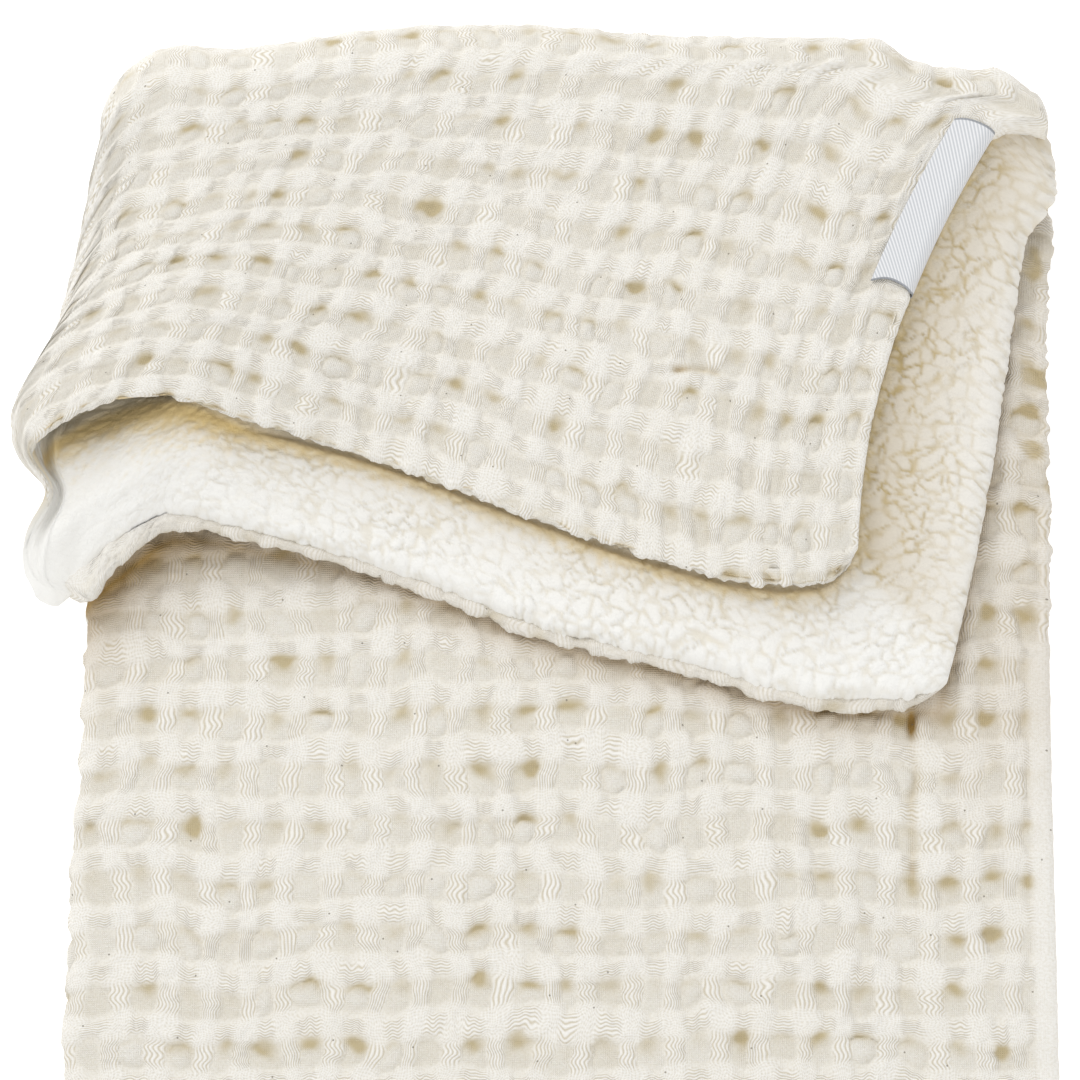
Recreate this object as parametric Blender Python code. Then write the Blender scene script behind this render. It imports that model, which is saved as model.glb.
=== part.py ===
"""Waffle weave cotton blanket with a pile lining, folded in half lengthwise, its far end turned over.

Metres, +Z up. The blanket lies on Z = 0 with its origin under the middle of its box. The turned-over
end is at +Y. The lengthwise fold is on the -X side, and the free long edges are on the +X side.

The cloth is cut flat, then every vertex is folded by one function, `laid(u, v, w)`:
u runs across the cut cloth, v along it, and w from the waffle's outer face in towards the pile.
"""

import math
from collections import namedtuple

import bmesh
import bpy

# The cut cloth
CLOTH_WIDTH = 0.750
CLOTH_LENGTH = 1.000
CORNER_RADIUS = 0.018
WAFFLE_THICK = 0.0030
PILE_THICK = 0.0055
GAP = 0.0003
RIM_WIDTH = 0.0040  # how far the waffle cloth rolls over the pile at each edge
PILE_INSET = RIM_WIDTH + 0.0012  # from the cut edge to the pile's own edge
RIM_KEEPS = 0.45  # the share of the full thickness left at the very edge
CLOTH_THICK = WAFFLE_THICK + GAP + PILE_THICK

# The lengthwise fold: two layers, waffle outside
PARTING = 0.0034  # between the two pile faces
STACK = 2 * CLOTH_THICK + PARTING
FOLD_RADIUS = STACK / 2
FLAT_RUN = (CLOTH_WIDTH - math.pi * FOLD_RADIUS) / 2
STRIP_WIDTH = FLAT_RUN + FOLD_RADIUS
STRIP_LEFT = -0.1722
MIDDLE_X = 0.0036  # the middle of the folded blanket, which becomes the origin
MIDDLE_Y = -0.0002
STRIP_LEAN = 0.012  # how far the strip drifts towards -X per metre towards its near hem

# The turned-over end
NEAR_HEM_Y = -0.3782
BEND_Y = 0.3532
BEND_INSIDE = 0.0035  # radius of the inner waffle face round the bend
BEND_RADIUS = STACK + BEND_INSIDE
BODY_LENGTH = BEND_Y - NEAR_HEM_Y
REST_GAP = 0.0010  # between the turned-over end and the strip below it
SETTLE_SHARE = 0.35  # the share of the flap over which it comes down from the bend
FOLD_FILLS = 0.004  # how far the lengthwise fold rounds out sideways midway along the flap
FOLD_BULGE = 0.009  # how far its upper side swells out before the far hem
BULGE_DOWN = 0.76  # the place of that swelling along the flap, as a share
BULGE_REACH = 0.20
FOLD_REACH = 0.12  # how far both reach across the strip, as a share
TOP_DRAWN_IN = 0.021  # how far the top layer's free edge is drawn in, late in the bend
LOWER_SET_OUT = 0.006  # and the lower layer's free edge pushed out
DRAWN_FROM = 0.6  # the share of the bend after which they part

# How far the bend lies behind BEND_Y, from the lengthwise fold (0) to the free edges (1)
Bend = namedtuple("Bend", "across back")
BEND = (
    Bend(0.00, 0.0280),
    Bend(0.06, 0.0110),
    Bend(0.14, 0.0090),
    Bend(0.28, 0.0020),
    Bend(0.45, 0.0000),
    Bend(0.60, 0.0035),
    Bend(0.80, 0.0050),
    Bend(0.88, 0.0125),
    Bend(0.95, 0.0145),
    Bend(1.00, 0.0240),
)

# Where each layer's far hem comes to lie. bow is how early (+) or late (-) a column drifts sideways.
Hem = namedtuple("Hem", "across x y lift bow")
TOP_HEM = (
    Hem(0.00, -0.1935, 0.1870, 0.010, -0.4),
    Hem(0.06, -0.1830, 0.2000, 0.011, -0.4),
    Hem(0.12, -0.1660, 0.2090, 0.011, -0.3),
    Hem(0.20, -0.1405, 0.2115, 0.009, -0.2),
    Hem(0.30, -0.1075, 0.2035, 0.005, 0.0),
    Hem(0.45, -0.0580, 0.1905, 0.001, 0.2),
    Hem(0.60, -0.0085, 0.1720, 0.000, 0.4),
    Hem(0.75, 0.0410, 0.1540, 0.000, 0.6),
    Hem(0.88, 0.0840, 0.1435, 0.001, 0.8),
    Hem(1.00, 0.1200, 0.1450, 0.002, 1.0),
)
LOWER_HEM = (
    Hem(0.00, -0.1955, 0.1460, 0.000, -0.5),
    Hem(0.06, -0.1760, 0.1420, 0.003, -0.5),
    Hem(0.12, -0.1610, 0.1525, 0.009, -0.4),
    Hem(0.20, -0.1410, 0.1665, 0.011, -0.4),
    Hem(0.30, -0.1070, 0.1625, 0.008, -0.3),
    Hem(0.45, -0.0535, 0.1480, 0.001, -0.3),
    Hem(0.60, 0.0000, 0.1270, 0.000, -0.4),
    Hem(0.75, 0.0535, 0.1135, 0.000, -0.5),
    Hem(0.88, 0.1035, 0.0995, 0.000, -0.6),
    Hem(1.00, 0.1515, 0.0995, 0.000, -0.7),
)

# Soft swells in the layers: where, how far they reach along X and Y, and how high
Swell = namedtuple("Swell", "x y reach_x reach_y high")
SWELLS = (
    Swell(-0.120, 0.270, 0.060, 0.050, 0.0025),
    Swell(0.020, 0.230, 0.090, 0.045, 0.0020),
    Swell(0.110, 0.290, 0.050, 0.040, 0.0020),
    Swell(-0.060, 0.070, 0.110, 0.040, 0.0015),
    Swell(0.090, -0.030, 0.080, 0.060, 0.0015),
    Swell(-0.090, -0.130, 0.080, 0.070, 0.0015),
    Swell(0.060, -0.250, 0.090, 0.060, 0.0015),
)
CREASE_X = 0.1330  # the soft lengthwise crease near the free edges
CREASE_Y = 0.0150
CREASE_REACH_X = 0.010
CREASE_REACH_Y = 0.060
CREASE_DEEP = 0.0025

# The blank woven label, folded round the top layer's free edge
LABEL_THICK = 0.0009
LABEL_LEG = 0.0185
LABEL_UNDER_LEG = 0.0080
LABEL_LENGTH = 0.0700
LABEL_START = 0.0030  # past the bend
LABEL_CLEAR = 0.0007
LABEL_TURN_STEPS = 8
LABEL_ROWS = 6

# Mesh stations
RIM_STEPS = (0.0, 0.0012, RIM_WIDTH, PILE_INSET)
FLAT_STEPS = 9
FOLD_STEPS = 12
BODY_STEPS = 9
BEND_STEPS = 8
FLAP_STEPS = 12


def smooth(t):
    t = min(max(t, 0.0), 1.0)
    return t * t * (3 - 2 * t)


def read_table(rows, column, across):
    """The named column at this share of the width, as a smooth curve through the rows."""
    across = min(max(across, 0.0), 1.0)
    place = [row.across for row in rows]
    value = [getattr(row, column) for row in rows]
    last = len(rows) - 1
    i = min(sum(across >= p for p in place) - 1, last - 1)
    lean = []
    for k in (i, i + 1):
        low, high = max(k - 1, 0), min(k + 1, last)
        lean.append((value[high] - value[low]) / (place[high] - place[low]))
    span = place[i + 1] - place[i]
    t = (across - place[i]) / span
    return (
        value[i] * (2 * t**3 - 3 * t**2 + 1)
        + value[i + 1] * (3 * t**2 - 2 * t**3)
        + lean[0] * span * (t**3 - 2 * t**2 + t)
        + lean[1] * span * (t**3 - t**2)
    )


def rounded_corner(u, v):
    """The cut cloth's place of a point of the full rectangle: its four corners are rounded."""
    inside_u, inside_v = CORNER_RADIUS, CORNER_RADIUS
    centre_u = inside_u if u < CLOTH_WIDTH / 2 else CLOTH_WIDTH - inside_u
    centre_v = inside_v if v < CLOTH_LENGTH / 2 else CLOTH_LENGTH - inside_v
    p = (u - centre_u) / CORNER_RADIUS * (-1 if u < CLOTH_WIDTH / 2 else 1)
    q = (v - centre_v) / CORNER_RADIUS * (-1 if v < CLOTH_LENGTH / 2 else 1)
    if p <= 0 or q <= 0:
        return u, v
    return (
        centre_u + (u - centre_u) * math.sqrt(1 - q * q / 2),
        centre_v + (v - centre_v) * math.sqrt(1 - p * p / 2),
    )


def rolled_edge(u, v, w):
    """w again, drawn to the middle of the thickness near the cut edge, so that the edge is round."""
    inset = min(u, CLOTH_WIDTH - u, v, CLOTH_LENGTH - v)
    if inset >= RIM_WIDTH:
        return w
    open_share = math.sqrt(1 - (1 - max(inset, 0.0) / RIM_WIDTH) ** 2)
    keep = RIM_KEEPS + (1 - RIM_KEEPS) * open_share
    return CLOTH_THICK / 2 + (w - CLOTH_THICK / 2) * keep


def across_strip(u, w):
    """(distance from the strip's folded side, height in the stack) of a point of the cut cloth."""
    if u <= FLAT_RUN:
        return STRIP_WIDTH - u, w
    if u >= CLOTH_WIDTH - FLAT_RUN:
        return STRIP_WIDTH - (CLOTH_WIDTH - u), STACK - w
    turned = (u - FLAT_RUN) / FOLD_RADIUS
    arm = FOLD_RADIUS - w
    return FOLD_RADIUS - arm * math.sin(turned), FOLD_RADIUS - arm * math.cos(turned)


def neutral_height(u):
    """The height in the stack at which this column of cloth keeps its length."""
    return across_strip(u, WAFFLE_THICK / 2)[1]


def swell(x, y):
    high = sum(
        s.high * math.exp(-(((x - s.x) / s.reach_x) ** 2) - ((y - s.y) / s.reach_y) ** 2)
        for s in SWELLS
    )
    crease = math.exp(
        -(((x - CREASE_X) / CREASE_REACH_X) ** 2) - ((y - CREASE_Y) / CREASE_REACH_Y) ** 2
    )
    return high - CREASE_DEEP * crease


def bend_end(u):
    """The length along the cloth at which this column has come round the bend."""
    return BODY_LENGTH + math.pi * (BEND_RADIUS - neutral_height(u))


def folded(u, v, w):
    """The same place before the blanket's middle is brought to the origin."""
    side, height = across_strip(u, w)
    lower = (neutral_height(u) - WAFFLE_THICK / 2) / (STACK - WAFFLE_THICK)
    share = side / STRIP_WIDTH
    bend_y = BEND_Y - read_table(BEND, "back", share)
    x = STRIP_LEFT + side

    if v <= BODY_LENGTH:
        along = v / BODY_LENGTH
        y = NEAR_HEM_Y + v + (bend_y - BEND_Y) * along**4
        x += STRIP_LEAN * (y - BEND_Y)
        return x, y, height + swell(x, y) * min(height / STACK, 1.0)

    turned = (v - BODY_LENGTH) / (BEND_RADIUS - neutral_height(u))
    drawn_in = (TOP_DRAWN_IN * (1 - lower) - LOWER_SET_OUT * lower) * share**2
    if turned <= math.pi:
        come_round = turned / math.pi
        x -= drawn_in * smooth((come_round - DRAWN_FROM) / (1 - DRAWN_FROM))
        y = bend_y + (BEND_RADIUS - height) * math.sin(turned)
        z = BEND_RADIUS - (BEND_RADIUS - height) * math.cos(turned)
        rides = height / STACK + (1 - height / STACK) * smooth(come_round)
        return x, y, z + swell(x, y) * rides

    down = (v - bend_end(u)) / (CLOTH_LENGTH - bend_end(u))

    def hem(column):
        top = read_table(TOP_HEM, column, share)
        return top + (read_table(LOWER_HEM, column, share) - top) * lower

    drift = down + hem("bow") * down * (1 - down)
    x += (hem("x") - x) * drift - drawn_in * (1 - drift)
    depth = min(max(height / STACK, 0.0), 1.0)
    bulge = FOLD_BULGE * (1 - depth) * math.exp(-(((down - BULGE_DOWN) / BULGE_REACH) ** 2))
    fills = FOLD_FILLS * 4 * depth * (1 - depth) * math.sin(math.pi * down)
    x -= (fills + bulge) * math.exp(-((share / FOLD_REACH) ** 2))
    y = bend_y + (hem("y") - bend_y) * down
    settled = 2 * BEND_INSIDE - REST_GAP
    lift = read_table(LOWER_HEM, "lift", share) + (1 - lower) * read_table(TOP_HEM, "lift", share)
    z = 2 * BEND_RADIUS - height - settled * smooth(down / SETTLE_SHARE)
    return x, y, z + lift * smooth(down) + swell(x, y)


def laid(u, v, w):
    """The place in space of a point of the cut cloth, w from its outer face."""
    x, y, z = folded(u, v, w)
    return x - MIDDLE_X, y - MIDDLE_Y, z


def steps(start, end, count):
    """The stations from start to end, without start."""
    return [start + (end - start) * (k + 1) / count for k in range(count)]


def stations_across(edges):
    """Stations across the cut cloth, with these insets at both edges."""
    near = [*edges, *steps(edges[-1], FLAT_RUN, FLAT_STEPS)]
    fold = steps(FLAT_RUN, CLOTH_WIDTH - FLAT_RUN, FOLD_STEPS)
    return near + fold + [CLOTH_WIDTH - u for u in reversed(near[:-1])]


def stations_along(u, edges):
    """Stations along the cloth at this column, so that the same rows come round the bend together."""
    near = [*edges, *steps(edges[-1], BODY_LENGTH, BODY_STEPS)]
    bend = steps(BODY_LENGTH, bend_end(u), BEND_STEPS)
    flap = steps(bend_end(u), CLOTH_LENGTH - edges[-1], FLAP_STEPS)
    return near + bend + flap + [CLOTH_LENGTH - v for v in reversed(edges[:-1])]


def cut_cloth(edges, outer, thick):
    """A flat sheet of the cut cloth on its stations, thick from w = outer; (mesh, its inner faces)."""
    cloth = bmesh.new()
    columns = stations_across(edges)
    rows = len(stations_along(0.0, edges))
    bmesh.ops.create_grid(cloth, x_segments=len(columns) - 1, y_segments=rows - 1, size=0.5)
    for vert in cloth.verts:
        column = round((vert.co.x + 0.5) * (len(columns) - 1))
        row = round((vert.co.y + 0.5) * (rows - 1))
        u = columns[column]
        vert.co = (u, stations_along(u, edges)[row], outer)
    bmesh.ops.triangulate(cloth, faces=cloth.faces, quad_method="FIXED")
    bmesh.ops.reverse_faces(cloth, faces=cloth.faces)
    made = bmesh.ops.extrude_face_region(cloth, geom=cloth.faces[:], use_keep_orig=True)["geom"]
    for vert in (item for item in made if isinstance(item, bmesh.types.BMVert)):
        vert.co.z = outer + thick
    inner_faces = [item for item in made if isinstance(item, bmesh.types.BMFace)]
    return cloth, inner_faces


def raise_rim(cloth, inner_faces):
    """Raises the waffle cloth's inner face to the full thickness along its edges, round the pile."""

    def on_rim(face):
        middle = face.calc_center_median()
        beyond = min(middle.x, CLOTH_WIDTH - middle.x, middle.y, CLOTH_LENGTH - middle.y)
        return beyond < RIM_WIDTH

    rim = [face for face in inner_faces if on_rim(face)]
    made = bmesh.ops.extrude_face_region(cloth, geom=rim)["geom"]
    for vert in (item for item in made if isinstance(item, bmesh.types.BMVert)):
        vert.co.z = CLOTH_THICK
    bmesh.ops.delete(cloth, geom=rim, context="FACES")


def finished_object(name, mesh_data, colour, roughness, collection):
    """A named object of this mesh, with its own plain material."""
    bmesh.ops.recalc_face_normals(mesh_data, faces=mesh_data.faces)
    mesh = bpy.data.meshes.new(name)
    mesh_data.to_mesh(mesh)
    mesh_data.free()
    material = bpy.data.materials.new(name)
    material.use_nodes = True
    shader = material.node_tree.nodes["Principled BSDF"]
    shader.inputs["Base Color"].default_value = (*colour, 1.0)
    shader.inputs["Roughness"].default_value = roughness
    shader.inputs["Metallic"].default_value = 0.0
    mesh.materials.append(material)
    mesh.shade_smooth()
    mesh.set_sharp_from_angle(angle=math.radians(50))
    piece = bpy.data.objects.new(name, mesh)
    collection.objects.link(piece)
    return piece


def split_walls(cloth):
    """Splits each four-sided wall along the same diagonal, so that neighbouring walls stay parallel."""
    for face in [face for face in cloth.faces if len(face.verts) == 4]:
        low = min(face.verts, key=lambda vert: sum(vert.co))
        high = max(face.verts, key=lambda vert: sum(vert.co))
        bmesh.utils.face_split(face, low, high)


def fold_cloth(cloth):
    split_walls(cloth)
    for vert in cloth.verts:
        u, v = rounded_corner(vert.co.x, vert.co.y)
        vert.co = laid(u, v, rolled_edge(u, v, vert.co.z))


def make_waffle_face(collection):
    """The outer cloth: waffle weave cotton, rolled over the pile at every edge."""
    cloth, inner_faces = cut_cloth(RIM_STEPS, 0.0, WAFFLE_THICK)
    raise_rim(cloth, inner_faces)
    fold_cloth(cloth)
    return finished_object("waffle_face", cloth, (0.82, 0.79, 0.73), 0.95, collection)


def make_teddy_lining(collection):
    """The inner cloth: curly pile, set inside the waffle cloth's rolled edges."""
    cloth, _ = cut_cloth((PILE_INSET,), WAFFLE_THICK + GAP, PILE_THICK)
    fold_cloth(cloth)
    return finished_object("teddy_lining", cloth, (0.86, 0.84, 0.79), 1.0, collection)


def label_section(clear):
    """The line round the free edge, this far outside the cloth, from the top leg to the under leg."""
    line = [(LABEL_LEG, -clear), (LABEL_LEG / 2, -clear)]
    for k in range(LABEL_TURN_STEPS + 1):
        turn = math.pi * k / LABEL_TURN_STEPS
        u = RIM_WIDTH - (RIM_WIDTH + clear) * math.sin(turn)
        w = CLOTH_THICK / 2 - (CLOTH_THICK / 2 + clear) * math.cos(turn)
        line.append((u, w))
    return line + [(LABEL_UNDER_LEG, CLOTH_THICK + clear)]


def make_label(collection):
    """A blank woven tape folded round the top layer's free edge."""
    lines = label_section(LABEL_CLEAR), label_section(LABEL_CLEAR + LABEL_THICK)
    last = len(lines[0]) - 1
    label = bmesh.new()
    bmesh.ops.create_grid(label, x_segments=last, y_segments=LABEL_ROWS, size=0.5)
    made = bmesh.ops.extrude_face_region(label, geom=label.faces[:], use_keep_orig=True)["geom"]
    outside = {item for item in made if isinstance(item, bmesh.types.BMVert)}
    start = bend_end(0.0) + LABEL_START
    for vert in label.verts:
        u, w = lines[vert in outside][round((vert.co.x + 0.5) * last)]
        v = start + (vert.co.y + 0.5) * LABEL_LENGTH
        x, y, z = laid(max(u, 0.0), v, w)
        vert.co = (x - min(u, 0.0), y, z)
    return finished_object("label", label, (0.74, 0.76, 0.80), 0.6, collection)


def main():
    for item in list(bpy.data.objects):
        bpy.data.objects.remove(item, do_unlink=True)
    blanket = bpy.data.collections.new("waffle_blanket")
    bpy.context.scene.collection.children.link(blanket)
    make_waffle_face(blanket)
    make_teddy_lining(blanket)
    make_label(blanket)


main()
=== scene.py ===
"""The looks of a folded waffle weave cotton blanket with a curly pile lining. Metres, +Z up."""

import math
from collections import namedtuple

import bpy
import numpy as np
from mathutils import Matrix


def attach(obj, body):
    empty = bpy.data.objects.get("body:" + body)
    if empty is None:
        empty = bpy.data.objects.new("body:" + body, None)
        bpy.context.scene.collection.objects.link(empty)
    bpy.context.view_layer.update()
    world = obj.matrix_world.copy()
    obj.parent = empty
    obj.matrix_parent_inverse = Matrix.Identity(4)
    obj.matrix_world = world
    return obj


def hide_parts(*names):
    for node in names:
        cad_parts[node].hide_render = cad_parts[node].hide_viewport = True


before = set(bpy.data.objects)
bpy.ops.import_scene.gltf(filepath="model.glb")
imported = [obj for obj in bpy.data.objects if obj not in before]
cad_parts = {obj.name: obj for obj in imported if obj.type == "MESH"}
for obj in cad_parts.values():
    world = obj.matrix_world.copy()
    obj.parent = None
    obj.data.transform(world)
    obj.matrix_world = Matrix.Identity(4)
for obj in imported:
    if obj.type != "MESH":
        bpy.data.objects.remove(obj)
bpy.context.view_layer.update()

# ---------------------------------------------------------------------------------------------
# The cut cloth and how it is folded: two cloths, waffle outside and pile inside, cut flat with
# rounded corners, folded in half lengthwise, and the far end turned over down the stack.
# The sizes are the solids' own, save a few rows of the bend's and the hems' tables.

CLOTH_WIDTH = 0.750
CLOTH_LENGTH = 1.000
CORNER_RADIUS = 0.018
WAFFLE_THICK = 0.0030
PILE_THICK = 0.0055
BETWEEN_CLOTHS = 0.0003
INSIDE_FOLD = 0.0034  # between the two pile faces
CLOTH_THICK = WAFFLE_THICK + BETWEEN_CLOTHS + PILE_THICK
STACK = 2 * CLOTH_THICK + INSIDE_FOLD
FOLD_RADIUS = STACK / 2
FLAT_RUN = (CLOTH_WIDTH - math.pi * FOLD_RADIUS) / 2  # from the cut edge to the lengthwise fold
FOLD_MIDDLE = CLOTH_WIDTH / 2
FOLD_ENDS = CLOTH_WIDTH - FLAT_RUN
STRIP_WIDTH = FLAT_RUN + FOLD_RADIUS
STRIP_LEFT = -0.1722
STRIP_LEAN = 0.012  # sideways for each metre along
MIDDLE_X = 0.0036
MIDDLE_Y = -0.0002
NEAR_HEM_Y = -0.3782
BEND_Y = 0.3532
BEND_INSIDE = 0.0035
BEND_RADIUS = STACK + BEND_INSIDE
BODY_LENGTH = BEND_Y - NEAR_HEM_Y
REST_GAP = 0.0010  # left under the turned-over end where it has settled
SETTLE_SHARE = 0.35  # of its length, over which it settles
FOLD_FILLS = 0.004  # how far the pile inside pushes the lengthwise fold out
FOLD_BULGE = 0.009
BULGE_DOWN = 0.76
BULGE_REACH = 0.20
FOLD_REACH = 0.12
TOP_DRAWN_IN = 0.0185  # how far the bend draws the top layer's free side in
TOP_DRAWN_FROM = 0.90
LOWER_DRAWN_IN = 0.009
LOWER_DRAWN_FROM = 0.019
LOWER_DRAWN_OVER = 0.030

Bend = namedtuple("Bend", "across back")
BEND = (
    Bend(0.00, 0.0280),
    Bend(0.06, 0.0110),
    Bend(0.14, 0.0108),
    Bend(0.24, 0.0055),
    Bend(0.29, 0.0024),
    Bend(0.45, 0.0003),
    Bend(0.60, 0.0047),
    Bend(0.80, 0.0056),
    Bend(0.83, 0.0066),
    Bend(0.87, 0.0155),
    Bend(0.92, 0.0183),
    Bend(0.96, 0.0172),
    Bend(1.00, 0.0250),
)
Hem = namedtuple("Hem", "across x y lift bow")
TOP_HEM = (
    Hem(0.00, -0.1935, 0.1870, 0.010, -0.4),
    Hem(0.06, -0.1830, 0.2000, 0.011, -0.4),
    Hem(0.12, -0.1660, 0.2090, 0.011, -0.3),
    Hem(0.20, -0.1405, 0.2115, 0.009, -0.2),
    Hem(0.30, -0.1075, 0.2035, 0.005, 0.0),
    Hem(0.45, -0.0580, 0.1905, 0.001, 0.2),
    Hem(0.60, -0.0085, 0.1720, 0.000, 0.4),
    Hem(0.75, 0.0410, 0.1540, 0.000, 0.6),
    Hem(0.88, 0.0840, 0.1435, 0.001, 0.8),
    Hem(1.00, 0.1200, 0.1450, 0.002, 1.0),
)
LOWER_HEM = (
    Hem(0.00, -0.1955, 0.1460, 0.000, -0.5),
    Hem(0.06, -0.1760, 0.1420, 0.003, -0.5),
    Hem(0.12, -0.1610, 0.1525, 0.009, -0.4),
    Hem(0.20, -0.1410, 0.1665, 0.011, -0.4),
    Hem(0.30, -0.1070, 0.1625, 0.008, -0.3),
    Hem(0.45, -0.0535, 0.1480, 0.001, -0.3),
    Hem(0.60, 0.0000, 0.1270, 0.000, -0.4),
    Hem(0.75, 0.0535, 0.1135, 0.000, -0.5),
    Hem(0.88, 0.1035, 0.0995, 0.000, -0.6),
    Hem(1.00, 0.1515, 0.0995, 0.000, -0.7),
)
Swell = namedtuple("Swell", "x y reach_x reach_y high")
SWELLS = (
    Swell(-0.120, 0.270, 0.060, 0.050, 0.0025),
    Swell(0.020, 0.230, 0.090, 0.045, 0.0020),
    Swell(0.110, 0.290, 0.050, 0.040, 0.0020),
    Swell(-0.060, 0.070, 0.110, 0.040, 0.0015),
    Swell(0.090, -0.030, 0.080, 0.060, 0.0015),
    Swell(-0.090, -0.130, 0.080, 0.070, 0.0015),
    Swell(0.060, -0.250, 0.090, 0.060, 0.0015),
    Swell(0.1330, 0.0150, 0.010, 0.060, -0.0025),
)


def smooth(t):
    """0 up to t = 0 and 1 from t = 1, with an even rise between."""
    t = np.clip(t, 0.0, 1.0)
    return t * t * (3 - 2 * t)


def bell(*away):
    """1 in the middle of a form and falling off evenly, given how many reaches away points are."""
    return np.exp(-sum(part**2 for part in away))


def read_table(rows, column, across):
    """The named column at these shares of the width, as a smooth curve through the rows."""
    place = np.array([row.across for row in rows])
    value = np.array([getattr(row, column) for row in rows])
    lean = np.empty(len(rows))
    lean[1:-1] = (value[2:] - value[:-2]) / (place[2:] - place[:-2])
    lean[0] = (value[1] - value[0]) / (place[1] - place[0])
    lean[-1] = (value[-1] - value[-2]) / (place[-1] - place[-2])
    across = np.clip(across, 0.0, 1.0)
    i = np.clip(np.searchsorted(place, across, side="right") - 1, 0, len(rows) - 2)
    span = place[i + 1] - place[i]
    t = (across - place[i]) / span
    return (
        value[i] * (2 * t**3 - 3 * t**2 + 1)
        + value[i + 1] * (3 * t**2 - 2 * t**3)
        + lean[i] * span * (t**3 - 2 * t**2 + t)
        + lean[i + 1] * span * (t**3 - t**2)
    )


def across_strip(u, w):
    """(distance from the strip's folded side, height in the stack) of points of the cut cloth."""
    turned = (u - FLAT_RUN) / FOLD_RADIUS
    arm = FOLD_RADIUS - w
    lower, upper = u <= FLAT_RUN, u >= FOLD_ENDS
    side = np.select(
        [lower, upper],
        [STRIP_WIDTH - u, STRIP_WIDTH - (CLOTH_WIDTH - u)],
        FOLD_RADIUS - arm * np.sin(turned),
    )
    height = np.select([lower, upper], [w, STACK - w], FOLD_RADIUS - arm * np.cos(turned))
    return side, height


def neutral_height(u):
    """The height in the stack at which each column of cloth keeps its length."""
    return across_strip(u, np.full_like(u, WAFFLE_THICK / 2))[1]


def bend_end(u):
    """The length along the cloth at which each column has come round the bend."""
    return BODY_LENGTH + math.pi * (BEND_RADIUS - neutral_height(u))


def swell(x, y):
    """How far the loose cloth stands up from flat there."""
    return sum(
        form.high * bell((x - form.x) / form.reach_x, (y - form.y) / form.reach_y)
        for form in SWELLS
    )


def laid(u, v, w):
    """The places in space of points of the cut cloth, w from its outer face, one row for each."""
    side, height = across_strip(u, w)
    neutral = neutral_height(u)
    lower = (neutral - WAFFLE_THICK / 2) / (STACK - WAFFLE_THICK)
    share = side / STRIP_WIDTH
    bend_y = BEND_Y - read_table(BEND, "back", share)
    left = STRIP_LEFT + side

    # Along the strip
    along = np.clip(v, 0.0, None) / BODY_LENGTH
    strip_y = NEAR_HEM_Y + v + (bend_y - BEND_Y) * along**4
    strip_x = left + STRIP_LEAN * (strip_y - BEND_Y)
    strip_z = height + swell(strip_x, strip_y) * np.minimum(height / STACK, 1.0)

    # Round the bend
    turned = (v - BODY_LENGTH) / (BEND_RADIUS - neutral)
    come_round = turned / math.pi
    start = bend_end(u)
    top_drawn = smooth((come_round - TOP_DRAWN_FROM) / (1 - TOP_DRAWN_FROM))
    lower_drawn = smooth((v - start - LOWER_DRAWN_FROM) / LOWER_DRAWN_OVER)
    drawn_in = TOP_DRAWN_IN * (1 - lower) * top_drawn + LOWER_DRAWN_IN * lower * lower_drawn
    drawn_in = drawn_in * share**2
    turn_x = left - drawn_in
    turn_y = bend_y + (BEND_RADIUS - height) * np.sin(turned)
    turn_z = BEND_RADIUS - (BEND_RADIUS - height) * np.cos(turned)
    rides = height / STACK + (1 - height / STACK) * smooth(come_round)
    turn_z = turn_z + swell(turn_x, turn_y) * rides

    # Down the turned-over end
    down = (v - start) / (CLOTH_LENGTH - start)

    def hem(column):
        top = read_table(TOP_HEM, column, share)
        return top + (read_table(LOWER_HEM, column, share) - top) * lower

    drift = down + hem("bow") * down * (1 - down)
    flap_x = left + (hem("x") - left) * drift - drawn_in * (1 - drift)
    depth = np.clip(height / STACK, 0.0, 1.0)
    bulge = FOLD_BULGE * (1 - depth) * bell((down - BULGE_DOWN) / BULGE_REACH)
    fills = FOLD_FILLS * 4 * depth * (1 - depth) * np.sin(math.pi * np.clip(down, 0, 1))
    flap_x = flap_x - (fills + bulge) * bell(share / FOLD_REACH)
    flap_y = bend_y + (hem("y") - bend_y) * down
    settled = 2 * BEND_INSIDE - REST_GAP
    lift = read_table(LOWER_HEM, "lift", share) + (1 - lower) * read_table(TOP_HEM, "lift", share)
    flap_z = 2 * BEND_RADIUS - height - settled * smooth(down / SETTLE_SHARE)
    flap_z = flap_z + lift * smooth(down) + swell(flap_x, flap_y)

    where = [v <= BODY_LENGTH, turned <= math.pi]
    return np.column_stack(
        (
            np.select(where, [strip_x, turn_x], flap_x) - MIDDLE_X,
            np.select(where, [strip_y, turn_y], flap_y) - MIDDLE_Y,
            np.select(where, [strip_z, turn_z], flap_z),
        )
    )


# ---------------------------------------------------------------------------------------------
# The outer cloth: undyed double-layer cotton in a coarse waffle weave, washed so that it crimps.
# Plump crossings stand at the corners of each cell, bundles of loose floats bridge them, and the
# plain-woven patch in the middle sinks to a pit or pops up as a dome. Its hem rolls over the pile.

CELL_ACROSS = 0.0160
CELL_ALONG = 0.0211
RIM = 0.0040  # half the width of the hem's roll
LIP = 0.0030  # how far the hem lies on over the pile
WIDE_LIP = 0.0170  # and beside the lengthwise fold
LIP_RISE = 0.52  # how far up the cloths' thickness it comes
PIT_DEPTH = 0.0018
CROSSING_HIGH = 0.0009
THREAD = 0.00112  # between two yarns of a float
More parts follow.
